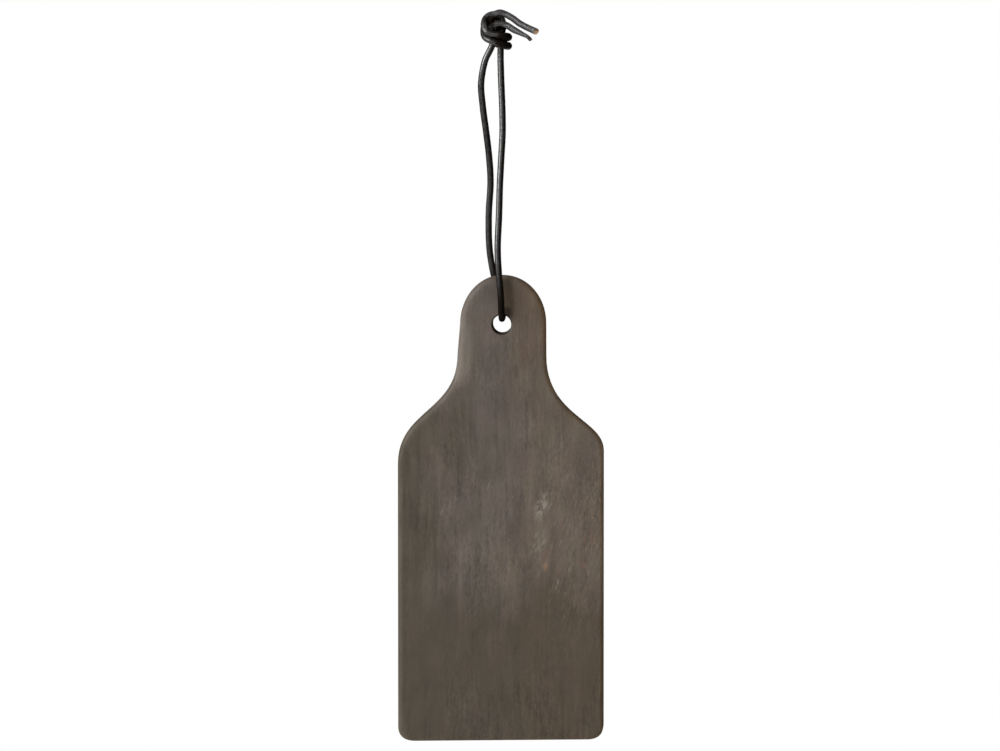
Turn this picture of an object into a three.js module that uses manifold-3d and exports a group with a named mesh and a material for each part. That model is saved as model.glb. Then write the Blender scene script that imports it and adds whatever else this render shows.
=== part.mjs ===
// Tapas board: a wooden paddle that hangs by a round leather lace.
// The lace runs once through the handle's hole, and both ends are tied in one doubled overhand knot.
// Millimetres, +Z up, serving face towards -Y. The origin is where a peg holds the loop,
// between the two strands just under the knot.
import * as THREE from 'three';
import { mergeVertices } from 'three/addons/utils/BufferGeometryUtils.js';
import Module from 'manifold-3d';

// Board
const boardLength = 300;
const boardWidth = 132;
const boardThickness = 15;
const edgeRadius = 3.5; // round-over of both faces
const endSlant = 1.4; // the sawn end is this much lower at its left corner than at its right
const cornerReach = 11; // how far a rounded corner runs along the sawn end
const cornerRise = 9.5; // and up the side

// Handle: depths from its round end, widths from the board's middle
const handleShift = 1.4; // the handle sits this far right of the board's middle
const handleWidth = 55;
const handleEndDepth = 31; // length of the round end
const neckLeft = 27.7;
const neckRight = 29;
const neckDepthLeft = 50;
const neckDepthRight = 52;
const shoulderDepthLeft = 121;
const shoulderDepthRight = 113;
const neckPull = 38.5; // how long each side curve keeps the direction of the neck
const shoulderPullLeft = 34.5; // and of the board's side
const shoulderPullRight = 20;

// Hanging hole
const holeDiameter = 12;
const holeDepth = 31;
const holeShift = 0.8; // to the right of the board's middle
const holeRimRadius = 2;

// Lace
const laceDiameter = 4;
const laceClearance = 0.3; // between the lace and the top of the hole
const strandLift = 1.8; // how far a strand stands off the handle's face above the hole
const loopDrop = 169; // from the peg down to the hole's axis
const loopShift = 5.7; // the hole's axis is this far to the right of the peg

// Facets
const outlineSegments = 14;
const edgeSegments = 5;
const holeSegments = 32;
const rimSegments = 5;
const laceSides = 10;
const laceStep = 2.2; // along the lace, short enough for the knot's bends

// Places that follow from the sizes
const face = boardThickness / 2;
const handleTop = holeDepth - loopDrop;
const boardMiddle = loopShift - holeShift;
const laceSeat = holeDiameter / 2 - laceDiameter / 2 - laceClearance - loopDrop;
const strandOut = face + laceDiameter / 2 + strandLift;

const wasm = await Module();
wasm.setup();

// A closed mesh as a solid that can be cut
function solidOf(geometry) {
  const bare = geometry.clone();
  bare.deleteAttribute('normal');
  bare.deleteAttribute('uv');
  const merged = mergeVertices(bare);
  const corners = merged.index.array;
  const triVerts = [];
  for (let i = 0; i < corners.length; i += 3) {
    const [a, b, c] = corners.slice(i, i + 3);
    if (a !== b && b !== c && c !== a) triVerts.push(a, b, c);
  }
  return new wasm.Manifold(new wasm.Mesh({
    numProp: 3,
    vertProperties: new Float32Array(merged.attributes.position.array),
    triVerts: new Uint32Array(triVerts),
  }));
}

function geometryOf(solid) {
  const mesh = solid.getMesh();
  const geometry = new THREE.BufferGeometry();
  geometry.setAttribute('position', new THREE.BufferAttribute(mesh.vertProperties, 3));
  geometry.setIndex(new THREE.BufferAttribute(mesh.triVerts, 1));
  geometry.computeVertexNormals();
  return geometry;
}

// Front outline, x from the board's middle and y from the handle's round end, which is the top
function boardOutline() {
  const half = boardWidth / 2;
  const endLeft = -boardLength;
  const endRight = endSlant - boardLength;
  const handleHalf = handleWidth / 2;
  const handleLeft = handleShift - handleHalf;
  const handleRight = handleShift + handleHalf;
  const roundness = 0.56; // of the pull that turns a quarter of the round end
  const pullDown = handleEndDepth * (roundness - 1);
  const pullAcross = handleHalf * roundness;

  const outline = new THREE.Shape();
  outline.moveTo(-half, endLeft + cornerRise);
  outline.lineTo(-half, -shoulderDepthLeft);
  outline.bezierCurveTo(
    -half, shoulderPullLeft - shoulderDepthLeft,
    -neckLeft, -neckDepthLeft - neckPull,
    -neckLeft, -neckDepthLeft,
  );
  outline.lineTo(handleLeft, -handleEndDepth);
  outline.bezierCurveTo(handleLeft, pullDown, handleShift - pullAcross, 0, handleShift, 0);
  outline.bezierCurveTo(handleShift + pullAcross, 0, handleRight, pullDown, handleRight, -handleEndDepth);
  outline.lineTo(neckRight, -neckDepthRight);
  outline.bezierCurveTo(
    neckRight, -neckDepthRight - neckPull,
    half, shoulderPullRight - shoulderDepthRight,
    half, -shoulderDepthRight,
  );
  outline.lineTo(half, endRight + cornerRise);
  outline.quadraticCurveTo(half, endRight, half - cornerReach, endRight);
  outline.lineTo(cornerReach - half, endLeft);
  outline.quadraticCurveTo(-half, endLeft, -half, endLeft + cornerRise);
  return outline;
}

// Cutter for the hanging hole along Y, flared at both mouths to round the rims over
function holeCutter() {
  const radius = holeDiameter / 2;
  const faceTurn = THREE.MathUtils.degToRad(72); // where the round rim meets the board's face
  const flareTurn = THREE.MathUtils.degToRad(78); // a little further, to cut cleanly through it
  const rimMiddle = face - holeRimRadius * Math.sin(faceTurn);
  const past = face + edgeRadius;
  const mouth = [];
  for (let i = 0; i <= rimSegments; i++) {
    const turn = (flareTurn * i) / rimSegments;
    const wide = radius + holeRimRadius * (1 - Math.cos(turn));
    mouth.push(new THREE.Vector2(wide, rimMiddle + holeRimRadius * Math.sin(turn)));
  }
  mouth.push(new THREE.Vector2(mouth.at(-1).x, past));
  mouth.push(new THREE.Vector2(0, past));
  const otherMouth = mouth.map((p) => new THREE.Vector2(p.x, -p.y)).reverse();
  return new THREE.LatheGeometry([...otherMouth, ...mouth], holeSegments);
}

function boardGeometry() {
  const blank = new THREE.ExtrudeGeometry(boardOutline(), {
    depth: boardThickness - 2 * edgeRadius,
    curveSegments: outlineSegments,
    bevelThickness: edgeRadius,
    bevelSize: edgeRadius,
    bevelOffset: -edgeRadius,
    bevelSegments: edgeSegments,
  });
  blank.translate(0, 0, edgeRadius - face);
  blank.rotateX(Math.PI / 2);
  blank.translate(boardMiddle, 0, handleTop);
  const hole = holeCutter();
  hole.translate(loopShift, 0, -loopDrop);
  return geometryOf(solidOf(blank).subtract(solidOf(hole)));
}

// Knot, drawn for a lace of 4 mm: x to the right of the peg, y behind it, z above it
const knotDrawnFor = 4;

// From the lower tail's cut end to the strand that comes down in front of the board
const frontKnot = [
  // lower tail, over the loop and down into it
  [24.9, -6.4, 12.4], [22.2, -6.6, 15.2], [18.2, -6.4, 17.3], [13.2, -6.0, 19.8], [9.0, -5.6, 22.4],
  [4.8, -5.7, 23.9], [1.3, -5.3, 23.1], [-0.8, -2.8, 21.5], [-1.7, 0.8, 19.9], [-1.9, 4.6, 18.1],
  // upper wrap: behind both strands, round the right and back across the front
  [-1.0, 7.0, 16.1], [1.6, 7.6, 14.5], [5.2, 6.2, 14.1], [8.2, 3.4, 14.3], [9.6, -0.3, 14.8],
  [8.2, -3.9, 15.3], [5.0, -5.2, 15.9], [1.5, -5.3, 16.7], [-1.5, -5.1, 17.3], [-4.0, -4.5, 18.4],
  // loop: up the left, over the top and down the right, through the wraps
  [-5.5, -2.7, 20.5], [-5.9, -0.5, 23.4], [-4.7, 1.6, 26.9], [-1.4, 2.2, 29.0], [2.2, 2.1, 28.9],
  [5.1, 1.4, 26.6], [6.3, 0.4, 22.8], [5.9, -0.3, 18.8], [4.8, -0.4, 14.8], [4.8, -0.2, 10.0],
  [4.7, 0.0, 5.5], [4.7, 0.0, 0.0],
];

// From the strand that comes up behind the board to the upper tail's cut end
const backKnot = [
  // up through the wraps and over the loop, behind the other strand
  [-5.1, 0.0, 0.0], [-2.4, 0.0, 5.7], [-0.6, 0.4, 9.8], [0.0, 1.1, 13.4], [1.4, 2.4, 16.0],
  [3.0, 3.6, 18.3], [4.1, 4.9, 20.8], [4.6, 6.0, 23.4], [3.6, 7.0, 25.8], [0.8, 7.6, 27.2],
  [-2.4, 7.3, 26.8], [-4.9, 6.0, 24.0], [-5.9, 4.6, 20.9], [-6.3, 2.1, 17.8], [-5.6, -0.9, 15.2],
  // lower wrap: across the front, round the right and back behind both strands
  [-4.0, -3.5, 13.8], [-1.5, -5.0, 12.7], [1.7, -5.2, 11.7], [5.0, -5.0, 10.7], [8.0, -3.4, 9.6],
  [9.5, -0.2, 9.1], [8.1, 3.3, 9.1], [4.8, 5.6, 9.4], [2.2, 7.9, 9.7], [0.6, 10.6, 11.2],
  // upper tail: up the back, forward through the loop and over its top
  [0.2, 12.2, 14.8], [0.2, 11.4, 18.4], [0.0, 8.6, 21.2], [-0.7, 4.8, 22.9], [-0.7, 1.1, 24.5],
  [-0.8, -2.6, 26.8], [0.8, -4.8, 29.2], [4.2, -4.9, 30.6], [7.8, -4.7, 29.6], [12.4, -5.0, 27.1],
  [16.8, -5.4, 23.9], [21.8, -5.9, 21.2], [28.9, -6.6, 18.1],
];

// Slack strands between the knot and the hole: x, then shares of the way out and of the way down
const frontStrand = [
  [5.2, 0.10, 0.09], [5.9, 0.22, 0.19], [6.1, 0.33, 0.28], [5.3, 0.46, 0.38], [4.5, 0.60, 0.48],
  [4.0, 0.74, 0.60], [3.2, 0.88, 0.73], [4.1, 0.97, 0.835], [5.3, 1.00, 0.915],
];
const backStrand = [
  [3.3, 1.00, 0.91], [-0.2, 0.97, 0.835], [-2.8, 0.88, 0.735], [-3.2, 0.74, 0.60], [-2.0, 0.60, 0.475],
  [-2.9, 0.46, 0.375], [-4.7, 0.33, 0.28], [-6.8, 0.20, 0.18], [-7.8, 0.09, 0.09],
];

// Through the hole from front to back, bent round both rims
const throughHole = [
  [loopShift - 0.2, 0.4 - strandOut, laceSeat + 7],
  [loopShift, -face - 2.2, laceSeat + 2.2],
  [loopShift, 1.5 - face, laceSeat],
  [loopShift, 0, laceSeat - 0.2],
  [loopShift, face - 1.5, laceSeat],
  [loopShift - 0.1, face + 2.2, laceSeat + 2.2],
  [loopShift - 0.6, strandOut - 0.4, laceSeat + 7],
];

function laceRoute() {
  const knotScale = laceDiameter / knotDrawnFor;
  const inKnot = (point) => new THREE.Vector3(...point).multiplyScalar(knotScale);
  const onStrand = (side) => ([x, out, down]) => (
    new THREE.Vector3(x, side * out * strandOut, down * laceSeat)
  );
  const route = new THREE.CatmullRomCurve3([
    ...frontKnot.map(inKnot),
    ...frontStrand.map(onStrand(-1)),
    ...throughHole.map((point) => new THREE.Vector3(...point)),
    ...backStrand.map(onStrand(1)),
    ...backKnot.map(inKnot),
  ]);
  route.arcLengthDivisions = 4000;
  return route;
}

// Least gap between two stretches of the lace that are more than three diameters apart along it
function leastGap(route) {
  const spacing = 0.5;
  const count = Math.round(route.getLength() / spacing);
  const points = route.getSpacedPoints(count);
  const apart = Math.round((3 * laceDiameter) / spacing);
  let least = Infinity;
  for (let i = 0; i < points.length; i++) {
    for (let j = i + apart; j < points.length; j++) {
      least = Math.min(least, points[i].distanceTo(points[j]));
    }
  }
  return least - laceDiameter;
}

function laceGeometry(route) {
  const section = new THREE.Shape().absarc(0, 0, laceDiameter / 2, 0, 2 * Math.PI);
  return new THREE.ExtrudeGeometry(section, {
    steps: Math.round(route.getLength() / laceStep),
    curveSegments: laceSides / 2, // a full circle gets two points for each
    bevelEnabled: false,
    extrudePath: route,
  });
}

function named(name, geometry, material) {
  const mesh = new THREE.Mesh(geometry, new THREE.MeshStandardMaterial(material));
  mesh.name = name;
  return mesh;
}

const route = laceRoute();
console.log(`lace length ${route.getLength().toFixed(1)} mm`);
console.log(`least gap of the lace to itself ${leastGap(route).toFixed(2)} mm`);

const tapasBoard = new THREE.Group();
tapasBoard.add(
  named('wooden_board', boardGeometry(), { color: 0x6b6358, roughness: 0.62, metalness: 0 }),
  named('leather_lace', laceGeometry(route), { color: 0x1d1c1d, roughness: 0.5, metalness: 0 }),
);

export default tapasBoard;
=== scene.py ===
import math

import bmesh
import bpy
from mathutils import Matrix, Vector, noise
from mathutils.geometry import interpolate_bezier


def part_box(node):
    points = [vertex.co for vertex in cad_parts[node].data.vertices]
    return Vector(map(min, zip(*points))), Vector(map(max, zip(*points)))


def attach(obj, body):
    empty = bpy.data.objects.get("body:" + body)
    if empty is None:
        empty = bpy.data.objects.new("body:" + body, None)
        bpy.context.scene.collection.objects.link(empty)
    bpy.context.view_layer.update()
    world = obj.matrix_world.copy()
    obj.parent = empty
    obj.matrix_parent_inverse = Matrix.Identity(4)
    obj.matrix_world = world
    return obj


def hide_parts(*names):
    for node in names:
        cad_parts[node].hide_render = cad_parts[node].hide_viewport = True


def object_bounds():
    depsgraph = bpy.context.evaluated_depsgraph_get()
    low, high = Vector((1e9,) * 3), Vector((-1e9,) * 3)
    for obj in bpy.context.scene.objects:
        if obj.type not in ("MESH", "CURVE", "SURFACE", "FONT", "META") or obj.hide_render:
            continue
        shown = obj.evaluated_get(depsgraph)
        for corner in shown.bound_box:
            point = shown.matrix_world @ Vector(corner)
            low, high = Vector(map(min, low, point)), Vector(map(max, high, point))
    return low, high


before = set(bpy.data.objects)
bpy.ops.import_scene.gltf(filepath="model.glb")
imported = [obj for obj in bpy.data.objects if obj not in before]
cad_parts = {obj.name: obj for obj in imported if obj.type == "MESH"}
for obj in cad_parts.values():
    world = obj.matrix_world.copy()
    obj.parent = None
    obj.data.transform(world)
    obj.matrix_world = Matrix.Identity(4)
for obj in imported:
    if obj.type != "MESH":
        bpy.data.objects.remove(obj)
cadLow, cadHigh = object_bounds()
scene = bpy.context.scene
print("frame loaded with", " and ".join(sorted(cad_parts)))


# Small helpers for objects, selections and nodes

def pick(piece):
    bpy.ops.object.select_all(action="DESELECT")
    piece.select_set(True)
    bpy.context.view_layer.objects.active = piece


def startEdit(piece):
    pick(piece)
    bpy.ops.object.mode_set(mode="EDIT")


def selectWhere(piece, mode, test):  # in edit mode, only the elements that pass the test
    bpy.ops.mesh.select_mode(type=mode)
    bpy.ops.mesh.select_all(action="DESELECT")
    shape = bmesh.from_edit_mesh(piece.data)
    shape.normal_update()
    for element in {"VERT": shape.verts, "EDGE": shape.edges, "FACE": shape.faces}[mode]:
        element.select_set(test(element))
    shape.select_flush_mode()
    bmesh.update_edit_mesh(piece.data)


def leaveEdit():
    bpy.ops.object.mode_set(mode="OBJECT")


def applyModifier(piece, kind, **settings):
    pick(piece)
    modifier = piece.modifiers.new(kind.lower(), kind)
    for name, value in settings.items():
        setattr(modifier, name, value)
    bpy.ops.object.modifier_apply(modifier=modifier.name)


def connect(tree, socket, value):  # a value, or what comes out of another node
    if isinstance(value, bpy.types.NodeSocket):
        tree.links.new(value, socket)
    else:
        socket.default_value = value


def addNode(tree, kind, settings=None, **inputs):  # input names in camelCase
    node = tree.nodes.new(kind)
    for name, value in (settings or {}).items():
        setattr(node, name, value)
    for name, value in inputs.items():
        spoken = "".join(" " + c if c.isupper() else c for c in name).lower()
        connect(tree, next(s for s in node.inputs if s.name.lower() == spoken and s.enabled), value)
    return node


def newMaterial(name):
    material = bpy.data.materials.new(name)
    material.use_nodes = True
    tree = material.node_tree
    shader = tree.nodes["Principled BSDF"]
    return material, tree, shader


def mixColour(tree, blend, amount, first, second):
    mix = addNode(tree, "ShaderNodeMix", {"data_type": "RGBA", "blend_type": blend},
                  factor=amount, a=first, b=second)
    return next(s for s in mix.outputs if s.enabled)


def mixValue(tree, amount, first, second):
    mix = addNode(tree, "ShaderNodeMix", {"data_type": "FLOAT"}, factor=amount, a=first, b=second)
    return next(s for s in mix.outputs if s.enabled)


def remap(tree, value, low, high, toLow, toHigh, smooth=False):
    way = "SMOOTHSTEP" if smooth else "LINEAR"
    node = addNode(tree, "ShaderNodeMapRange", {"interpolation_type": way}, value=value,
                   fromMin=low, fromMax=high, toMin=toLow, toMax=toHigh)
    return node.outputs["Result"]


def combine(tree, way, first, second):
    node = tree.nodes.new("ShaderNodeMath")
    node.operation = way
    connect(tree, node.inputs[0], first)
    connect(tree, node.inputs[1], second)
    return node.outputs[0]


def multiply(tree, first, second):
    return combine(tree, "MULTIPLY", first, second)


def zone(tree, place, centre, across, along, core=0.2, lean=0.0):  # 1 round the centre, fading to 0
    moved = addNode(tree, "ShaderNodeMapping", {"vector_type": "TEXTURE"}, vector=place,
                    location=centre, rotation=(0, -lean, 0), scale=(across, 1, along))
    reach = addNode(tree, "ShaderNodeVectorMath", {"operation": "LENGTH"}, vector=moved.outputs["Vector"])
    return remap(tree, reach.outputs["Value"], core, 1.0, 1.0, 0.0, smooth=True)


# Camera: the photograph's view, a little from the right and from above

view = {
    "azimuth": 2.2,  # degrees to the right
    "elevation": 4.8,  # degrees above the horizon
    "distance": 6.0,
    "frameWidth": 0.6413,  # what the picture's width spans at the board
    "aim": Vector((0.0043, 0, -0.2024)),
    "sensor": 36.0,
}


def setCamera():
    turn = math.radians(view["azimuth"])
    rise = math.radians(view["elevation"])
    back = Vector((math.sin(turn) * math.cos(rise), -math.cos(turn) * math.cos(rise), math.sin(rise)))
    bpy.ops.object.camera_add(location=view["aim"] + back * view["distance"])
    camera = bpy.context.object
    camera.name = "camera"
    camera.rotation_euler = (-back).to_track_quat("-Z", "Y").to_euler()
    camera.data.sensor_width = view["sensor"]
    camera.data.lens = view["sensor"] * view["distance"] / view["frameWidth"]
    scene.camera = camera


# Studio: a large soft light from the left, weaker ones from the front, above and behind

studio = {
    "surround": (1, 1, 1, 1),
    "ambientColour": (1.0, 0.85, 0.66, 1),
    "ambientLow": 0.02,
    "ambientHigh": 0.08,
    "ambientFrom": Vector((-0.35, -0.40, 0.85)),
    "target": Vector((0.005, 0, -0.24)),
    "lights": [  # name, where from, width and height, power, colour, whether it shows as a highlight
        ("left", Vector((-2.33, -1.30, 0.97)), (1.3, 1.3), 102.0, (0.97, 0.99, 1.0), True),
        ("front", Vector((-0.16, -3.06, 0.50)), (0.5, 2.4), 15.0, (0.99, 0.98, 1.0), True),
        ("top", Vector((0.55, -0.75, 2.60)), (1.3, 1.3), 40.0, (1.0, 0.97, 0.93), False),
        ("back", Vector((0.20, 2.85, -0.30)), (1.5, 0.9), 42.0, (1.0, 0.98, 0.95), False),
    ],
    "floorDrop": 0.75,  # below the board's lower end
    "floorRadius": 3.0, "floorSides": 96, "floorRoughness": 0.9,
    "floorClear": 1.2,  # from here on the floor fades into the white surround
    "floorColour": (0.88, 0.87, 0.86, 1),
}


def lightWorld():
    world = bpy.data.worlds.new("studio")
    scene.world = world
    world.use_nodes = True
    tree = world.node_tree
    heading = tree.nodes.new("ShaderNodeTexCoord").outputs["Generated"]
    facing = addNode(tree, "ShaderNodeVectorMath", {"operation": "DOT_PRODUCT"})
    connect(tree, facing.inputs[0], heading)
    connect(tree, facing.inputs[1], studio["ambientFrom"].normalized())
    strength = remap(tree, facing.outputs["Value"], 0.0, 1.0, studio["ambientLow"], studio["ambientHigh"],
                     smooth=True)
    soft = tree.nodes["Background"]
    soft.inputs["Color"].default_value = studio["ambientColour"]
    connect(tree, soft.inputs["Strength"], strength)
    surround = addNode(tree, "ShaderNodeBackground", color=studio["surround"], strength=1.0)
    ray = tree.nodes.new("ShaderNodeLightPath")
    blend = tree.nodes.new("ShaderNodeMixShader")
    connect(tree, blend.inputs[0], ray.outputs["Is Camera Ray"])
    connect(tree, blend.inputs[1], soft.outputs[0])
    connect(tree, blend.inputs[2], surround.outputs[0])
    connect(tree, tree.nodes["World Output"].inputs["Surface"], blend.outputs[0])


def addLights():
    for name, start, (width, height), power, colour, shows in studio["lights"]:
        place = studio["target"] + start
        bpy.ops.object.light_add(type="AREA", location=place)
        lamp = bpy.context.object
        lamp.name = name
        lamp.rotation_euler = (-start).to_track_quat("-Z", "Y").to_euler()
        lamp.data.shape = "RECTANGLE"
        lamp.data.size = width
        lamp.data.size_y = height
        lamp.data.energy = power
        lamp.data.color = colour
        lamp.visible_camera = False
        lamp.visible_glossy = shows


def layFloor():
    height = cadLow.z - studio["floorDrop"]
    bpy.ops.mesh.primitive_circle_add(vertices=studio["floorSides"], radius=studio["floorRadius"],
                                      fill_type="NGON", location=(0, 0, height))
    floor = bpy.context.object
    floor.name = "floor"
    material, tree, shader = newMaterial("pale floor")
    shader.inputs["Base Color"].default_value = studio["floorColour"]
    shader.inputs["Roughness"].default_value = studio["floorRoughness"]
    place = tree.nodes.new("ShaderNodeTexCoord").outputs["Object"]
    reach = addNode(tree, "ShaderNodeVectorMath", {"operation": "LENGTH"}, vector=place)
    fade = remap(tree, reach.outputs["Value"], studio["floorClear"], studio["floorRadius"], 0, 1, True)
    clear = tree.nodes.new("ShaderNodeBsdfTransparent")
    blend = tree.nodes.new("ShaderNodeMixShader")
    connect(tree, blend.inputs[0], fade)
    connect(tree, blend.inputs[1], shader.outputs[0])
    connect(tree, blend.inputs[2], clear.outputs[0])
    connect(tree, tree.nodes["Material Output"].inputs["Surface"], blend.outputs[0])
    floor.data.materials.append(material)


setCamera()
lightWorld()
addLights()
layFloor()
scene.view_settings.view_transform = "Standard"
print("camera, light and floor set")


# Lace: one round leather lace, tied to itself in a doubled overhand knot

lace = {
    "diameter": 0.0042,
    "sideSteps": 6,  # bevel resolution, 16 sides
    "alongSteps": 8,  # rings between two points of the route
    "drop": 0.1653,  # from the peg to the lace's middle under the top of the hole
    "standOff": 0.0113,  # from the board's middle to a strand above the hole
    "holeX": 0.0057,
    "thinEnd": [0.60, 0.56, 0.76],  # how thick the lower tail is at its first points
    "swell": 0.24,  # the wraps are squeezed thicker where they turn at the right
    "swellStart": 0.001, "swellLength": 0.007,
    "wrapLow": 0.007, "wrapHigh": 0.0175, "wrapRight": 0.007, "wrapFront": -0.003,
    "pressed": 0.16,  # and so is the strand behind the loop
    "pressedBehind": 0.004, "pressedAbove": 0.020,
    "upperCut": Vector((0.75, -0.56, -0.34)),  # the way that the slanted cut of the upper tail faces
    "lowerCut": Vector((0.50, -0.45, -0.74)),
    "upperTrim": 0.0012,
    "lowerTrim": 0.0011,
    "unevenness": 0.00005, "unevenScale": 420,
}

# From the lower tail's end over the loop, round the upper wrap, up the loop and down through it
frontKnot = [
    (0.0249, -0.0064, 0.0124), (0.0222, -0.0066, 0.0152), (0.0182, -0.0064, 0.0173),
    (0.0132, -0.0060, 0.0198), (0.0090, -0.0056, 0.0224), (0.0048, -0.0057, 0.0239),
    (0.0013, -0.0053, 0.0231), (-0.0008, -0.0028, 0.0215), (-0.0017, 0.0008, 0.0199),
    (-0.0019, 0.0046, 0.0181), (-0.0010, 0.0070, 0.0161), (0.0016, 0.0076, 0.0145),
    (0.0052, 0.0062, 0.0141), (0.0082, 0.0034, 0.0143), (0.0096, -0.0003, 0.0148),
    (0.0082, -0.0039, 0.0153), (0.0050, -0.0052, 0.0159), (0.0015, -0.0053, 0.0167),
    (-0.0015, -0.0051, 0.0173), (-0.0040, -0.0045, 0.0184), (-0.0055, -0.0027, 0.0205),
    (-0.0059, -0.0005, 0.0234), (-0.0047, 0.0016, 0.0269), (-0.0014, 0.0022, 0.0290),
    (0.0022, 0.0021, 0.0289), (0.0051, 0.0014, 0.0266), (0.0063, 0.0004, 0.0228),
    (0.0059, -0.0003, 0.0188), (0.0048, -0.0004, 0.0148), (0.0048, -0.0002, 0.0100),
    (0.0047, 0, 0.0055), (0.0047, 0, 0),
]
# From the other strand up behind the loop, round the lower wrap and out over the top
backKnot = [
    (-0.0051, 0, 0), (-0.0024, 0, 0.0057), (-0.0006, 0.0004, 0.0098), (0, 0.0011, 0.0134),
    (0.0014, 0.0024, 0.0160), (0.0030, 0.0036, 0.0183), (0.0041, 0.0049, 0.0208),
    (0.0046, 0.0060, 0.0234), (0.0036, 0.0070, 0.0258), (0.0008, 0.0076, 0.0272),
    (-0.0024, 0.0073, 0.0268), (-0.0049, 0.0060, 0.0240), (-0.0059, 0.0046, 0.0209),
    (-0.0063, 0.0021, 0.0178), (-0.0056, -0.0009, 0.0152), (-0.0040, -0.0035, 0.0138),
    (-0.0015, -0.0050, 0.0127), (0.0017, -0.0052, 0.0117), (0.0050, -0.0050, 0.0107),
    (0.0080, -0.0034, 0.0096), (0.0095, -0.0002, 0.0091), (0.0081, 0.0033, 0.0091),
    (0.0048, 0.0056, 0.0094), (0.0022, 0.0079, 0.0097), (0.0006, 0.0106, 0.0112),
    (0.0002, 0.0122, 0.0148), (0.0002, 0.0114, 0.0184), (0, 0.0086, 0.0212),
    (-0.0007, 0.0048, 0.0229), (-0.0007, 0.0011, 0.0245), (-0.0008, -0.0026, 0.0268),
    (0.0008, -0.0048, 0.0292), (0.0042, -0.0049, 0.0306), (0.0078, -0.0047, 0.0296),
    (0.0124, -0.0050, 0.0271), (0.0168, -0.0054, 0.0239), (0.0218, -0.0059, 0.0212),
    (0.0289, -0.0066, 0.0181),
]
# Slack strands: x, then shares of the way out from the board and of the way down
frontStrand = [
    (0.0052, 0.10, 0.09), (0.0059, 0.22, 0.19), (0.0061, 0.33, 0.28), (0.0053, 0.46, 0.38),
    (0.0045, 0.60, 0.48), (0.0040, 0.74, 0.60), (0.0032, 0.88, 0.73), (0.0041, 0.97, 0.835),
    (0.0053, 1.00, 0.915),
]
backStrand = [
    (0.0033, 1.00, 0.91), (-0.0002, 0.97, 0.835), (-0.0028, 0.88, 0.735), (-0.0032, 0.74, 0.60),
    (-0.0020, 0.60, 0.475), (-0.0029, 0.46, 0.375), (-0.0047, 0.33, 0.28), (-0.0068, 0.20, 0.18),
    (-0.0078, 0.09, 0.09),
]
# Through the hole: x from its axis, y, and height above the lace's seat
throughHole = [
    (-0.0002, -0.0109, 0.0070), (0, -0.0097, 0.0022), (0, -0.0060, 0), (0, 0, -0.0002),
    (0, 0.0060, 0), (-0.0001, 0.0097, 0.0022), (-0.0006, 0.0109, 0.0070),
]


def laceRoute():
    def onStrand(points, side):
        return [(x, side * out * lace["standOff"], -down * lace["drop"]) for x, out, down in points]

    inHole = [(lace["holeX"] + x, y, z - lace["drop"]) for x, y, z in throughHole]
    whole = frontKnot + onStrand(frontStrand, -1) + inHole + onStrand(backStrand, 1) + backKnot
    return [Vector(point) for point in whole]


def tangents(route):  # of the smooth curve through the route, for each stretch between two points
    ahead = [2 * route[0] - route[1]] + route + [2 * route[-1] - route[-2]]
    for before, start, end, after in zip(ahead, ahead[1:], ahead[2:], ahead[3:]):
        gaps = [(b - a).length ** 0.5 for a, b in ((before, start), (start, end), (end, after))]
        leaving = ((start - before) / gaps[0] - (end - before) / (gaps[0] + gaps[1])
                   + (end - start) / gaps[1]) * gaps[1]
        arriving = ((end - start) / gaps[1] - (after - start) / (gaps[1] + gaps[2])
                    + (after - end) / gaps[2]) * gaps[1]
        yield leaving, arriving


def girth(place):  # how thick the lace is at a point of its route
    if place.y > lace["pressedBehind"] and place.x < 0 and place.z > lace["pressedAbove"]:
        return 1 + lace["pressed"]
    atWraps = lace["wrapLow"] < place.z < lace["wrapHigh"]
    if atWraps and (place.x > lace["wrapRight"] or place.y < lace["wrapFront"]):
        return 1 + lace["swell"] * min(1, max(0, (place.x - lace["swellStart"]) / lace["swellLength"]))
    return 1


def makeLace():
    route = laceRoute()
    bpy.ops.curve.primitive_bezier_curve_add(location=(0, 0, 0))
    piece = bpy.context.object
    piece.name = "leatherLace"
    curve = piece.data
    curve.dimensions = "3D"
    spline = curve.splines[0]
    spline.bezier_points.add(len(route) - len(spline.bezier_points))
    for i, (point, place) in enumerate(zip(spline.bezier_points, route)):
        point.handle_left_type = point.handle_right_type = "FREE"
        point.co = point.handle_left = point.handle_right = place
        point.radius = lace["thinEnd"][i] if i < len(lace["thinEnd"]) else girth(place)
        point.tilt = 0
    for i, (leaving, arriving) in enumerate(tangents(route)):
        spline.bezier_points[i].handle_right = route[i] + leaving / 3
        spline.bezier_points[i + 1].handle_left = route[i + 1] - arriving / 3
    spline.resolution_u = lace["alongSteps"]
    curve.resolution_u = lace["alongSteps"]
    curve.bevel_depth = lace["diameter"] / 2
    curve.bevel_resolution = lace["sideSteps"]
    curve.use_fill_caps = True
    pick(piece)
    bpy.ops.object.convert(target="MESH")
    bpy.ops.object.shade_smooth()
    cutTail(piece, route[-1], route[-2], lace["upperCut"], lace["upperTrim"])
    cutTail(piece, route[0], route[1], lace["lowerCut"], lace["lowerTrim"])
    for vertex in piece.data.vertices:
        vertex.co += vertex.normal * lace["unevenness"] * noise.noise(vertex.co * lace["unevenScale"])
    return piece, route


def cutTail(piece, tip, before, facing, trim):
    back = (before - tip).normalized()
    near = 3 * lace["diameter"] / 2
    startEdit(piece)
    selectWhere(piece, "FACE", lambda face: (face.calc_center_median() - tip).length < near)
    bpy.ops.mesh.bisect(plane_co=tip + back * trim, plane_no=facing, use_fill=True, clear_outer=True)
    leaveEdit()
    for face in piece.data.polygons:
        if (face.center - tip).length < near and face.normal.dot(facing.normalized()) > 0.99:
            face.material_index = 1
            face.use_smooth = False


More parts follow.
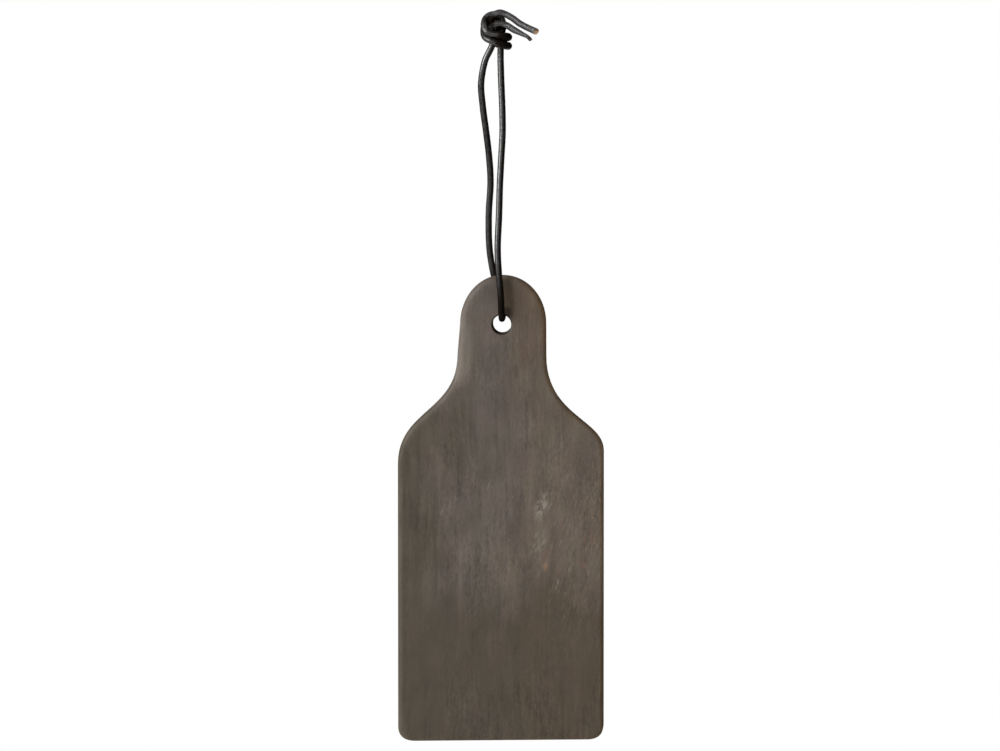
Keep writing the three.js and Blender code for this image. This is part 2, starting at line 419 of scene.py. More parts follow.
laceMesh, route = makeLace()
cutFaces = sum(face.material_index == 1 for face in laceMesh.data.polygons)
print("lace made:", len(laceMesh.data.polygons), "faces,", cutFaces, "on the cut ends")


# Board: one plank cut to a paddle, its edges worn rounder to the left and at the handle

boardLow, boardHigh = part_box("wooden_board")
board = {
    "middle": (boardLow.x + boardHigh.x) / 2,
    "top": boardHigh.z,
    "length": boardHigh.z - boardLow.z,
    "half": (boardHigh.x - boardLow.x) / 2,
    "thickness": boardHigh.y - boardLow.y,
    "edgeReach": 0.0053,  # how far the rounding of the front edge comes into the face
    "edgeWorn": Vector((-0.0008, 0, 0.0006)),  # what the way that an edge faces adds to it
    "handleWorn": 0.0012,  # what the handle's left edge has besides
    "handleLength": 0.09, "handleFade": 0.03,
    "widestReach": 0.008,  # the rounding that counts as full
    "backReach": 0.0035,
    "edgeSteps": 12,
    "edgeBulge": 0.7,  # fuller than a circle, which is 0.5
    "endSlant": 0.0014,
    "cornerReach": 0.011,
    "cornerRise": 0.0095,
    "handleShift": 0.0014,
    "handleHalf": 0.0275,
    "handleEnd": 0.031,
    "neckLeft": 0.0277, "neckRight": 0.029,
    "neckDepthLeft": 0.050, "neckDepthRight": 0.052,
    "shoulderLeft": 0.121, "shoulderRight": 0.113,
    "neckPull": 0.0385,
    "shoulderPullLeft": 0.0345, "shoulderPullRight": 0.020,
    "roundness": 0.56,
    "outlineSteps": 24,
    "holeRadius": 0.006, "holeDepth": 0.031, "holeShift": 0.0008, "holeSides": 64,
    "touch": 1e-5,  # nearer than this counts as the same place
    "rimRadius": 0.0014, "rimSteps": 6,
    "cell": 0.005,  # the flat faces are cut into cells of this size
    "clearCells": 2.2,  # how many of them are left out to each side of the hole
    "merge": 0.00005,
    "unevenness": 0.00012,  # what hand sanding leaves
    "broadScale": 28, "smallScale": 95, "smallShare": 0.35,
    "sandStart": 0.016, "sandFade": 0.010,  # from the hole's axis on
    "rub": 1.3,  # how soon an edge that turns to the right takes the full painted light
    "paintedEdgeLightUp": 0.8, "paintedEdgeLightDown": 0.5,  # less painted light where it also turns up, and some where it turns down
    "paintedEdgeLightBack": 0.3,  # none on what faces further back than this
}


def outlinePoints():  # place, handle before and handle after; None where a straight side meets it
    b = board
    half, endLeft, endRight = b["half"], -b["length"], b["endSlant"] - b["length"]
    left, right = b["handleShift"] - b["handleHalf"], b["handleShift"] + b["handleHalf"]
    pullDown, pullAcross = b["handleEnd"] * (b["roundness"] - 1), b["handleHalf"] * b["roundness"]
    corner = 2 / 3  # a handle this far towards the corner turns it as a parabola
    return [
        ((-half, endLeft + b["cornerRise"]), (-half, endLeft + b["cornerRise"] * (1 - corner)), None),
        ((-half, -b["shoulderLeft"]), None, (-half, b["shoulderPullLeft"] - b["shoulderLeft"])),
        ((-b["neckLeft"], -b["neckDepthLeft"]),
         (-b["neckLeft"], -b["neckDepthLeft"] - b["neckPull"]), None),
        ((left, -b["handleEnd"]), None, (left, pullDown)),
        ((b["handleShift"], 0), (b["handleShift"] - pullAcross, 0), (b["handleShift"] + pullAcross, 0)),
        ((right, -b["handleEnd"]), (right, pullDown), None),
        ((b["neckRight"], -b["neckDepthRight"]), None,
         (b["neckRight"], -b["neckDepthRight"] - b["neckPull"])),
        ((half, -b["shoulderRight"]), (half, b["shoulderPullRight"] - b["shoulderRight"]), None),
        ((half, endRight + b["cornerRise"]), None, (half, endRight + b["cornerRise"] * (1 - corner))),
        ((half - b["cornerReach"], endRight), (half - b["cornerReach"] * (1 - corner), endRight), None),
        ((b["cornerReach"] - half, endLeft), None, (b["cornerReach"] * (1 - corner) - half, endLeft)),
    ]


def drawOutline():
    points = outlinePoints()
    bpy.ops.curve.primitive_bezier_circle_add(location=(0, 0, 0))
    piece = bpy.context.object
    piece.name = "woodenBoard"
    piece.data.dimensions = "3D"
    spline = piece.data.splines[0]
    spline.bezier_points.add(len(points) - len(spline.bezier_points))
    front = -board["thickness"] / 2

    def inFrame(flat):
        return Vector((board["middle"] + flat[0], front, board["top"] + flat[1]))

    for point, (place, before, after) in zip(spline.bezier_points, points):
        point.handle_left_type = "FREE" if before else "VECTOR"
        point.handle_right_type = "FREE" if after else "VECTOR"
        point.co = inFrame(place)
        if before:
            point.handle_left = inFrame(before)
        if after:
            point.handle_right = inFrame(after)
    spline.resolution_u = board["outlineSteps"]
    piece.data.resolution_u = board["outlineSteps"]
    pick(piece)
    bpy.ops.object.convert(target="MESH")
    return piece


def makeBoard():
    piece = drawOutline()
    startEdit(piece)
    bpy.ops.mesh.select_all(action="SELECT")
    bpy.ops.mesh.edge_face_add()
    bpy.ops.mesh.extrude_region_move(TRANSFORM_OT_translate={"value": (0, board["thickness"], 0)})
    bpy.ops.mesh.select_all(action="SELECT")
    bpy.ops.mesh.normals_make_consistent(inside=False)
    leaveEdit()
    roundEdges(piece)
    sliceFaces(piece)
    drillHole(piece)
    sandByHand(piece)
    applyModifier(piece, "WEIGHTED_NORMAL", weight=60)
    return piece


def wornReach(facing, place):  # of the front edge
    onHandle = min(1, max(0, (place.z - board["top"] + board["handleLength"]) / board["handleFade"]))
    onLeft = board["handleWorn"] * onHandle * max(0, -facing.x)
    return board["edgeReach"] + facing.dot(board["edgeWorn"]) + onLeft


def roundEdges(piece):
    mesh = piece.data
    widest = board["widestReach"]
    weights = mesh.attributes.new("bevel_weight_edge", "FLOAT", "EDGE").data
    edgeOf = {tuple(sorted(edge.vertices)): edge.index for edge in mesh.edges}
    for side in mesh.polygons:
        if abs(side.normal.y) > 0.5:
            continue
        for key in side.edge_keys:
            ends = [mesh.vertices[i].co.y for i in key]
            if max(ends) < 0:
                weights[edgeOf[key]].value = wornReach(side.normal, side.center) / widest
            elif min(ends) > 0:
                weights[edgeOf[key]].value = board["backReach"] / widest
    applyModifier(piece, "BEVEL", limit_method="WEIGHT", width=widest, segments=board["edgeSteps"],
                  profile=board["edgeBulge"], use_clamp_overlap=False)


def holeAxis():
    return Vector((board["middle"] + board["holeShift"], 0, board["top"] - board["holeDepth"]))


def drillHole(piece):
    axis = holeAxis()
    half = board["thickness"] / 2
    bpy.ops.mesh.primitive_cylinder_add(vertices=board["holeSides"], radius=board["holeRadius"],
                                        depth=2 * board["thickness"], location=axis,
                                        rotation=(math.pi / 2, 0, 0))
    drill = bpy.context.object
    applyModifier(piece, "BOOLEAN", operation="DIFFERENCE", solver="EXACT", object=drill)
    bpy.data.objects.remove(drill)

    def onRim(edge):
        first, second = (vertex.co for vertex in edge.verts)
        reach = max(math.hypot(end.x - axis.x, end.z - axis.z) for end in (first, second))
        flat = abs(first.y - second.y) < board["touch"]
        return reach < 1.01 * board["holeRadius"] and flat and abs(abs(first.y) - half) < board["touch"]

    startEdit(piece)
    selectWhere(piece, "EDGE", onRim)
    bpy.ops.mesh.bevel(offset=board["rimRadius"], segments=board["rimSteps"], profile=0.5,
                       affect="EDGES", clamp_overlap=False)
    leaveEdit()


def sliceFaces(piece):  # an even grid on both flat faces, so that they can be shaped
    axis = holeAxis()

    def isFlat(face):
        return abs(face.normal.y) > 0.9999

    def byHole(face):
        middle = face.calc_center_median()
        away = max(abs(middle.x - axis.x), abs(middle.z - axis.z))
        return away < board["clearCells"] * board["cell"]

    columns = int(2 * board["half"] / board["cell"])
    rows = int(board["length"] / board["cell"])
    cuts = [((boardLow.x + (i + 0.5) * board["cell"], 0, 0), (1, 0, 0)) for i in range(columns)]
    cuts += [((0, 0, boardLow.z + (i + 0.5) * board["cell"]), (0, 0, 1)) for i in range(rows)]
    startEdit(piece)
    for place, normal in cuts:
        selectWhere(piece, "FACE", isFlat)
        bpy.ops.mesh.bisect(plane_co=place, plane_no=normal)
    bpy.ops.mesh.select_all(action="SELECT")
    bpy.ops.mesh.remove_doubles(threshold=board["merge"])
    for side in (-1, 1):  # one larger flat face round the hole on either side
        selectWhere(piece, "FACE", lambda face: isFlat(face) and face.normal.y * side > 0 and byHole(face))
        bpy.ops.mesh.dissolve_faces()
    leaveEdit()


def sandByHand(piece):
    pick(piece)
    bpy.ops.object.shade_smooth()
    axis = holeAxis()
    normals = [v.normal.copy() for v in piece.data.vertices]
    for vertex, normal in zip(piece.data.vertices, normals):
        broad = noise.noise(vertex.co * board["broadScale"])
        small = noise.noise(vertex.co * board["smallScale"])
        fromHole = math.hypot(vertex.co.x - axis.x, vertex.co.z - axis.z)
        share = min(1, max(0, (fromHole - board["sandStart"]) / board["sandFade"]))
        vertex.co += normal * board["unevenness"] * share * (broad + board["smallShare"] * small)
    # painted light: how much lighter each edge is painted where it faces away from the lamps
    worn = piece.data.attributes.new("worn", "FLOAT", "POINT").data
    for i, normal in enumerate(normals):  # painted light, with some thinner stain, where the front edge turns to the right or down, away from the lamps
        toRight = max(0, normal.x) * (1 - board["paintedEdgeLightUp"] * max(0, normal.z))
        turned = toRight + board["paintedEdgeLightDown"] * max(0, -normal.z)
        worn[i].value = min(1, board["rub"] * turned) if normal.y < board["paintedEdgeLightBack"] else 0


boardMesh = makeBoard()
print("board made:", len(boardMesh.data.polygons), "faces")


# Patterns for the finishes

def swing(tree, pattern, strength):  # as much darker as lighter
    return remap(tree, pattern, 0.3, 0.7, -strength, strength)


def patches(tree, pattern, toLow=0, toHigh=1):  # soft patches of two kinds
    return remap(tree, pattern, 0.38, 0.62, toLow, toHigh, smooth=True)


def spots(tree, pattern, start, full, amount=1):  # only where the pattern is strongest
    return remap(tree, pattern, start, full, 0, amount, smooth=True)


# Wood: stained grey-brown, with painted light and thinner stain at the right edge, with a figure that leans
# in a warm patch

wood = {
    "greyTone": (0.1062, 0.0858, 0.0728, 1),
    "oliveTone": (0.0985, 0.0820, 0.0655, 1),
    "warmTone": (0.1168, 0.0922, 0.0716, 1),
    "brownTone": (0.1082, 0.0840, 0.0640, 1),  # towards the right
    "darkTone": (0.70, 0.68, 0.61, 1),  # what is left where the board is darker, at its lower end and to the left
    "paintedEdgeLightTone": (1.70, 1.52, 1.24, 1),  # painted light, with thinner stain, on the edges that turn right or down
    "green": (0.988, 1.004, 0.985, 1),  # the stain's hue wanders between this
    "pink": (1.015, 0.995, 1.012, 1),  # and this
    "mossTone": (0.97, 1.0, 0.94, 1),  # it is greener in the dark patch
    "handleTone": (0.95, 0.88, 0.83, 1),  # the handle's right side is browner
    # painted shade inside the hole
    "paintedHoleShade": (0.30, 0.27, 0.24, 1),
    "poreTone": (0.050, 0.039, 0.030, 1),
    "fleckTone": (0.240, 0.210, 0.172, 1),
    "paleTone": (0.190, 0.164, 0.136, 1),
    "orangeTone": (0.270, 0.168, 0.098, 1),
    "rustTone": (0.150, 0.092, 0.064, 1),
    "lowStart": -0.322, "lowEnd": -0.366,  # the board is darker at its lower end
    "leftStart": -0.010, "leftEnd": -0.050, "leftShare": 0.9,  # and to the left
    "rightStart": 0.004, "rightEnd": 0.028, "brownLeast": 0.35,  # browner to the right, in patches
    "greyStart": -0.235, "greyEnd": -0.205, "greyShare": 0.3,  # and greyer towards the handle
    "lowHue": 0.45,  # how much of the grey is left at the lower end
    "warmShare": 0.6, "paleShare": 0.55,  # how much of their tones the warm and pale places take
    "darkShare": 0.84,  # brightness of the dark one
    "borders": 0.07,  # how far these borders wander
    "sway": 0.010, "swayScale": 9.0,  # and the grain
    "lean": math.radians(-17),  # of the figure in the warm patch
    # Places: centre, across, along, and the share that is full
    "warmPlace": (Vector((0.046, 0, -0.312)), 0.034, 0.075),
    "darkPlace": (Vector((-0.046, 0, -0.292)), 0.016, 0.034),
    "palePlace": (Vector((-0.021, 0, -0.184)), 0.010, 0.030, 0.5),
    "handlePlace": (Vector((0.0245, 0, -0.166)), 0.017, 0.040, 0.5),
    "speckPlace": (Vector((0.0662, 0, -0.2850)), 0.0052, 0.052, 0.4),  # orange specks by the right edge
    "rustPlace": (Vector((0.0480, 0, -0.3080)), 0.034, 0.052),  # and rusty ones round it
    # painted shade inside the hole and on its rim
    "paintedHoleShadePlace": (holeAxis(), 0.0073, 0.0073, 0.86),
    "shadePlaces": [  # centre, across, along, brightness
        (Vector((0.000, 0, -0.146)), 0.014, 0.013, 0.87),
        (Vector((0.007, 0, -0.192)), 0.022, 0.018, 0.87),
        (Vector((0.006, 0, -0.216)), 0.030, 0.024, 0.91),
        (Vector((0.057, 0, -0.256)), 0.018, 0.022, 0.89),
        (Vector((0.050, 0, -0.376)), 0.030, 0.026, 1.09),
    ],
    "paintedShadowPlaces": [  # painted shadow of the front strand, beside it on the handle and where it enters the hole
        (Vector((0.0090, 0, -0.1520)), 0.0066, 0.0200, (0.86, 0.78, 0.67, 1)),
        (Vector((0.0082, 0, -0.1618)), 0.0056, 0.0060, (0.45, 0.40, 0.34, 1)),
    ],
    "marks": [  # centre, across, along, tone, strength, how unbroken
        (Vector((0.0304, 0, -0.2865)), 0.0060, 0.0140, "fleckTone", 0.95, 0.0),
        (Vector((0.0285, 0, -0.3090)), 0.0070, 0.0140, "fleckTone", 0.45, 0.0),
        (Vector((0.0326, 0, -0.3246)), 0.0022, 0.0042, "orangeTone", 0.75, 0.6),
        (Vector((0.0403, 0, -0.3360)), 0.0013, 0.0050, "fleckTone", 0.60, 0.2),
        (Vector((-0.0047, 0, -0.2725)), 0.0006, 0.0055, "fleckTone", 0.55, 0.4),
        (Vector((-0.0335, 0, -0.2890)), 0.0006, 0.0055, "fleckTone", 0.45, 0.4),
    ],
    "grains": {  # scale, share of it along the plank, detail, roughness, whether it leans, shift
        "borders": (34, 0.70, 3, 0.5, 0, 6.3),
        "brownness": (120, 0.50, 3, 0.6, 0, 14.2),
        "hue": (42, 0.45, 4, 0.6, 0, 0),
        "tint": (75, 0.40, 3, 0.6, 0, 8.1),
        "mottle": (88, 0.50, 4, 0.6, 0, 1.3),
        "bands": (190, 0.12, 3, 0.6, 0, 2.2),
        "upright": (400, 0.12, 4, 0.66, 0, 0),
        "leaning": (400, 0.18, 4, 0.66, 1, 0.7),
        "fine": (1000, 0.42, 3, 0.7, 0, 2.9),
        "patchy": (44, 0.50, 2, 0.5, 0, 3.7),
        "threads": (330, 0.05, 2, 0.5, 0, 12.6),
        "pores": (700, 0.20, 1, 0.5, 0, 5.1),
        "flecks": (620, 0.22, 2, 0.5, 1, 4.3),
        "rust": (330, 0.60, 2, 0.5, 0, 16.4),
        "specks": (520, 0.50, 2, 0.5, 0, 11.7),
        "broken": (560, 0.45, 3, 0.7, 1, 9.4),
    },
    "strength": {"streaks": 0.21, "fine": 0.22, "bands": 0.10, "mottle": 0.15,
                 "paleThreads": 0.12, "darkThreads": 0.14, "pores": 0.18, "rust": 0.5, "specks": 0.5},
    "figureShare": [  # axis, from, to, how strong the figure is before and after, whether it eases
        ("Z", -0.388, -0.408, 1.0, 1.7, True),
        ("Z", -0.240, -0.210, 1.0, 0.82, False),
    ],
    "patchShare": (0.4, 1.15),  # how strong its streaks are from patch to patch
    "leanThreads": 0.4,  # and its threads where it leans
    "fleckShare": (0.04, 0.26),  # pale flecks, outside the warm patch and in it
    "calmLow": 0.52,  # how strong it is at the lower end
    "calmLeft": (-0.045, -0.010, 0.68),  # and its streaks at the left: from, to, share
    "gloss": 0.25,
    "roughness": (0.52, 0.64),
    "bump": 0.25, "bumpDepth": 0.00025,
}


def wanderingGrain(tree, place):  # the plank's grain isn't quite straight
    wander = addNode(tree, "ShaderNodeTexNoise", vector=place, scale=wood["swayScale"],
                     detail=1.0, roughness=0.5)
    sway = addNode(tree, "ShaderNodeVectorMath", {"operation": "SUBTRACT"})
    connect(tree, sway.inputs[0], wander.outputs["Color"])
    connect(tree, sway.inputs[1], (0.5, 0.5, 0.5))
    bent = addNode(tree, "ShaderNodeVectorMath", {"operation": "MULTIPLY_ADD"})
    connect(tree, bent.inputs[0], sway.outputs["Vector"])
    connect(tree, bent.inputs[1], (wood["sway"], 0, 0))
    connect(tree, bent.inputs[2], place)
    return bent.outputs["Vector"]


def grain(tree, along, name):  # one of the patterns listed above, drawn out along the plank
    scale, share, detail, rough, leans, shift = wood["grains"][name]
    turned = addNode(tree, "ShaderNodeMapping", vector=along, rotation=(0, leans * wood["lean"], 0))
    drawn = addNode(tree, "ShaderNodeMapping", vector=turned.outputs["Vector"],
                    location=(shift, shift, shift), scale=(1, 1, share))
    node = addNode(tree, "ShaderNodeTexNoise", vector=drawn.outputs["Vector"], scale=scale,
                   detail=detail, roughness=rough)
    return node.outputs["Fac"]


def stainTones(tree, place, along, apart, warmZone):  # the broad tones, and where the board is low
    uneven = combine(tree, "SUBTRACT", grain(tree, along, "borders"), 0.5)
    uneven = multiply(tree, uneven, wood["borders"])
    height = combine(tree, "ADD", apart.outputs["Z"], uneven)
    side = combine(tree, "ADD", apart.outputs["X"], uneven)
    low = remap(tree, height, wood["lowStart"], wood["lowEnd"], 0, 1, smooth=True)
    left = remap(tree, side, wood["leftStart"], wood["leftEnd"], 0, wood["leftShare"], smooth=True)
    right = multiply(tree, remap(tree, side, wood["rightStart"], wood["rightEnd"], 0, 1, smooth=True),
                     remap(tree, grain(tree, along, "brownness"), 0.40, 0.60, wood["brownLeast"], 1.0))
    hue = patches(tree, grain(tree, along, "hue"))
    hue = multiply(tree, hue, remap(tree, low, 0, 1, 1.0, wood["lowHue"]))
    grey = remap(tree, apart.outputs["Z"], wood["greyStart"], wood["greyEnd"], 0, wood["greyShare"])
    colour = mixColour(tree, "MIX", combine(tree, "ADD", hue, grey), wood["oliveTone"], wood["greyTone"])
    colour = mixColour(tree, "MIX", right, colour, wood["brownTone"])
    colour = mixColour(tree, "MIX", multiply(tree, warmZone, wood["warmShare"]), colour, wood["warmTone"])
    paleZone = zone(tree, place, *wood["palePlace"])
    colour = mixColour(tree, "MIX", multiply(tree, paleZone, wood["paleShare"]), colour, wood["paleTone"])
    colour = mixColour(tree, "MULTIPLY", combine(tree, "MAXIMUM", low, left), colour, wood["darkTone"])
    tint = patches(tree, grain(tree, along, "tint"))
    tint = mixColour(tree, "MIX", tint, wood["green"], wood["pink"])
    return mixColour(tree, "MULTIPLY", 1.0, colour, tint), low


def woodFigure(tree, along, apart, low, leanZone, streaks, fine):  # how much lighter or darker, round 1
    strength = wood["strength"]
    small = combine(tree, "ADD", swing(tree, streaks, strength["streaks"]),
                    swing(tree, fine, strength["fine"]))
    calmFrom, calmTo, calmShare = wood["calmLeft"]
    calm = remap(tree, apart.outputs["X"], calmFrom, calmTo, calmShare, 1.0, smooth=True)
    small = multiply(tree, small, calm)
    figure = multiply(tree, small, patches(tree, grain(tree, along, "patchy"), *wood["patchShare"]))
    for name in ("bands", "mottle"):
        figure = combine(tree, "ADD", figure, swing(tree, grain(tree, along, name), strength[name]))
    thread = grain(tree, along, "threads")
    pale = spots(tree, thread, 0.60, 0.70, strength["paleThreads"])
    dark = spots(tree, thread, 0.40, 0.30, -strength["darkThreads"])
    threads = combine(tree, "ADD", pale, dark)
    threads = multiply(tree, threads, remap(tree, leanZone, 0, 1, 1.0, wood["leanThreads"]))
    figure = combine(tree, "ADD", figure, threads)
    figure = multiply(tree, figure, remap(tree, low, 0, 1, 1.0, wood["calmLow"]))
    for axis, start, end, before, after, eases in wood["figureShare"]:
        figure = multiply(tree, figure, remap(tree, apart.outputs[axis], start, end, before, after, eases))
    return combine(tree, "ADD", figure, 1.0)


def shadedStain(tree, place, along, colour, figure):  # the figure, darker places and wear
    darkZone = zone(tree, place, *wood["darkPlace"])
    figure = multiply(tree, figure, remap(tree, darkZone, 0, 1, 1.0, wood["darkShare"]))
    colour = mixColour(tree, "MULTIPLY", darkZone, colour, wood["mossTone"])
    for centre, across, down, brightness in wood["shadePlaces"]:
        shade = zone(tree, along, centre, across, down)
        figure = multiply(tree, figure, remap(tree, shade, 0, 1, 1.0, brightness))
    colour = mixColour(tree, "MULTIPLY", 1.0, colour, figure)
    # painted light on the edges that face away from the lamps, with some thinner stain
    worn = addNode(tree, "ShaderNodeAttribute", {"attribute_name": "worn"}).outputs["Fac"]
    colour = mixColour(tree, "MULTIPLY", worn, colour, wood["paintedEdgeLightTone"])
    onHandle = zone(tree, place, *wood["handlePlace"])
    colour = mixColour(tree, "MULTIPLY", onHandle, colour, wood["handleTone"])
    # painted shadow of the front strand
    for centre, across, down, tone in wood["paintedShadowPlaces"]:
        strandShadow = zone(tree, place, centre, across, down, core=0.4)
        colour = mixColour(tree, "MULTIPLY", strandShadow, colour, tone)
    # painted shade inside the hole and on its rim
    inHole = zone(tree, place, *wood["paintedHoleShadePlace"])
    return mixColour(tree, "MULTIPLY", inHole, colour, wood["paintedHoleShade"])


def markedStain(tree, place, along, colour, warmZone):  # pores, flecks, specks and single marks
    strength = wood["strength"]
    pores = spots(tree, grain(tree, along, "pores"), 0.66, 0.76)
    colour = mixColour(tree, "MIX", multiply(tree, pores, strength["pores"]), colour, wood["poreTone"])
    flecks = spots(tree, grain(tree, along, "flecks"), 0.58, 0.74)
    spread = remap(tree, warmZone, 0, 0.7, *wood["fleckShare"])
    colour = mixColour(tree, "MIX", multiply(tree, flecks, spread), colour, wood["fleckTone"])
    rust = spots(tree, grain(tree, along, "rust"), 0.55, 0.68, strength["rust"])
    rust = multiply(tree, rust, zone(tree, place, *wood["rustPlace"]))
    colour = mixColour(tree, "MIX", rust, colour, wood["rustTone"])
    specks = spots(tree, grain(tree, along, "specks"), 0.56, 0.68, strength["specks"])
    specks = multiply(tree, specks, zone(tree, place, *wood["speckPlace"]))
    colour = mixColour(tree, "MIX", specks, colour, wood["orangeTone"])
    broken = spots(tree, grain(tree, along, "broken"), 0.42, 0.60)
    for centre, across, down, tone, amount, solid in wood["marks"]:
        spot = zone(tree, along, centre, across, down, lean=wood["lean"])
        spot = multiply(tree, spot, combine(tree, "MAXIMUM", broken, solid))
        colour = mixColour(tree, "MIX", multiply(tree, spot, amount), colour, wood[tone])
    return colour


def stainedWood():
    material, tree, shader = newMaterial("stained wood")
    place = tree.nodes.new("ShaderNodeTexCoord").outputs["Object"]
    along = wanderingGrain(tree, place)
    apart = addNode(tree, "ShaderNodeSeparateXYZ", vector=place)
    warmZone = zone(tree, place, *wood["warmPlace"])
    leanZone = remap(tree, warmZone, 0.05, 0.45, 0, 1, smooth=True)
    streaks = mixValue(tree, leanZone, grain(tree, along, "upright"), grain(tree, along, "leaning"))
    fine = grain(tree, along, "fine")
    colour, low = stainTones(tree, place, along, apart, warmZone)
    figure = woodFigure(tree, along, apart, low, leanZone, streaks, fine)
    colour = shadedStain(tree, place, along, colour, figure)
    colour = markedStain(tree, place, along, colour, warmZone)
    connect(tree, shader.inputs["Base Color"], colour)
    shader.inputs["Specular IOR Level"].default_value = wood["gloss"]
    connect(tree, shader.inputs["Roughness"], remap(tree, streaks, 0.3, 0.7, *wood["roughness"]))
    relief = combine(tree, "ADD", streaks, multiply(tree, fine, 0.5))
    bump = addNode(tree, "ShaderNodeBump", strength=wood["bump"], distance=wood["bumpDepth"], height=relief)
    connect(tree, shader.inputs["Normal"], bump.outputs["Normal"])
    return material


# Leather: black dyed and pebbled, worn in spots, with painted sheen on the tails' upper sides, tan inside

leather = {
    "dye": (0.0056, 0.0040, 0.0026, 1),
    "scuff": (0.016, 0.0155, 0.0155, 1),
    "tail": (0.105, 0.102, 0.107, 1),  # painted sheen on the tails' upper sides
    "upperSide": Vector((0.5, 0, 0.87)),
    "cutHighlight": (0.20, 0.20, 0.185, 1),  # painted highlight just before the upper tail's cut
    "core": (1.0, 0.66, 0.40, 1),
    "coreDark": (0.28, 0.14, 0.065, 1),
    "coreGrey": (0.19, 0.165, 0.155, 1),  # the lower tail's cut is dirty
    # Places: centre, across, along, and the share that is full
    "cutHighlightPlace": (Vector((0.0270, -0.0085, 0.0190)), 0.0030, 0.0030, 0.3),
    "loopPlace": (Vector((-0.0052, 0, 0.0212)), 0.0024, 0.0040, 0.3),  # painted sheen as on the tails
    "tipPlace": (Vector((0.0240, 0, 0.0134)), 0.0042, 0.0042, 0.3),  # less painted sheen and gloss at the lower tail's tip
    "softPlace": (Vector((-0.0046, 0, 0.0185)), 0.0054, 0.0110, 0.5),  # shines less sharply
    "dullPlaces": [  # the wraps' right ends, and where both tails come out of the loop
        (Vector((0.0078, 0, 0.0125)), 0.0085, 0.0068, 0.6),
        (Vector((-0.0010, 0, 0.0262)), 0.0034, 0.0064, 0.6),
        (Vector((0.0058, 0, 0.0192)), 0.0034, 0.0030, 0.6),
    ],
    "holeStart": -0.122, "holeEnd": -0.156,  # the lace is duller and painted darker towards the hole
    "behindDepth": 0.003, "behindShare": 0.75,  # and at the back
    "behindLow": -0.080, "behindHigh": -0.030, "behindLeast": 0.35,  # less so below the knot
    "tailSlope": 0.65, "tailStart": 0.0252, "tailFull": 0.0262,  # a slanted line parts tails and wraps
    "tailNear": 0.004, "tailFar": 0.012,
    "underStart": 0.10, "underFull": -0.65, "underShare": 0.22,  # how much less painted sheen they have below
    "loopDepth": 0.001, "loopShare": 0.8, "tipShare": 0.3,
    "topStart": 0.0275, "topFull": 0.0295, "topShare": 0.6,  # painted sheen on the top of the loop
    "pebbleScale": 1500.0, "wearScale": 260.0, "fibreScale": 1400.0,
    "gloss": 0.95, "dullGloss": 0.06, "speckle": (0.55, 1.30),  # speckle of the gloss
    "wornLeast": 0.1,  # painted shade: wear that is left where the lace is dull and unlit
    "pebbleSheen": (0.10, 1.0), "pebbleHighlight": (0.2, 0.8),  # how much of the painted sheen and the painted highlight the pebbles take
    "sheen": (0.30, 0.42), "softMore": 0.12, "dullMore": 0.16,  # roughness
    "bend": 1.5, "tailBend": 1.95,  # index of refraction
    "bump": 0.6, "bumpDepth": 0.00014,
    "cutTop": 0.0197, "cutFoot": 0.0181,
    "lowerCutEnd": 0.0145, "lowerCutStart": 0.0155,
    "cutRoughness": 0.85,
}


def dullParts(tree, place, apart):  # behind and inside the knot, and the same with the end by the hole
    dull = multiply(tree, remap(tree, apart.outputs["Y"], 0.0, leather["behindDepth"],
                                0, leather["behindShare"], smooth=True),
                    remap(tree, apart.outputs["Z"], leather["behindLow"], leather["behindHigh"],
                          leather["behindLeast"], 1.0, smooth=True))
    for spot in leather["dullPlaces"]:
        dull = combine(tree, "MAXIMUM", dull, zone(tree, place, *spot))
    byHole = remap(tree, apart.outputs["Z"], leather["holeStart"], leather["holeEnd"], 0, 1, smooth=True)
    return dull, combine(tree, "MAXIMUM", dull, byHole)


def tailParts(tree, place, apart):  # the tails, all that has painted sheen, and how far it is an upper side
    rise = multiply(tree, apart.outputs["X"], leather["tailSlope"])
    sloped = combine(tree, "ADD", apart.outputs["Z"], rise)
    onTails = multiply(tree, remap(tree, sloped, leather["tailStart"], leather["tailFull"], 0, 1),
                       remap(tree, apart.outputs["X"], leather["tailNear"], leather["tailFar"],
                             0, 1, smooth=True))
    onTop = remap(tree, apart.outputs["Z"], leather["topStart"], leather["topFull"],
                  0, leather["topShare"], smooth=True)
    onLoop = multiply(tree, zone(tree, place, *leather["loopPlace"]),
                      remap(tree, apart.outputs["Y"], leather["loopDepth"], -leather["loopDepth"],
                            0, leather["loopShare"]))
    sheenArea = combine(tree, "MAXIMUM", combine(tree, "MAXIMUM", onTails, onTop), onLoop)
    facing = addNode(tree, "ShaderNodeVectorMath", {"operation": "DOT_PRODUCT"})
    connect(tree, facing.inputs[0], tree.nodes.new("ShaderNodeTexCoord").outputs["Normal"])
    connect(tree, facing.inputs[1], leather["upperSide"])
    upper = remap(tree, facing.outputs["Value"], leather["underFull"], leather["underStart"],
                  leather["underShare"], 1.0, smooth=True)
    atTip = zone(tree, place, *leather["tipPlace"])
    return onTails, sheenArea, multiply(tree, upper, remap(tree, atTip, 0, 1, 1.0, leather["tipShare"]))


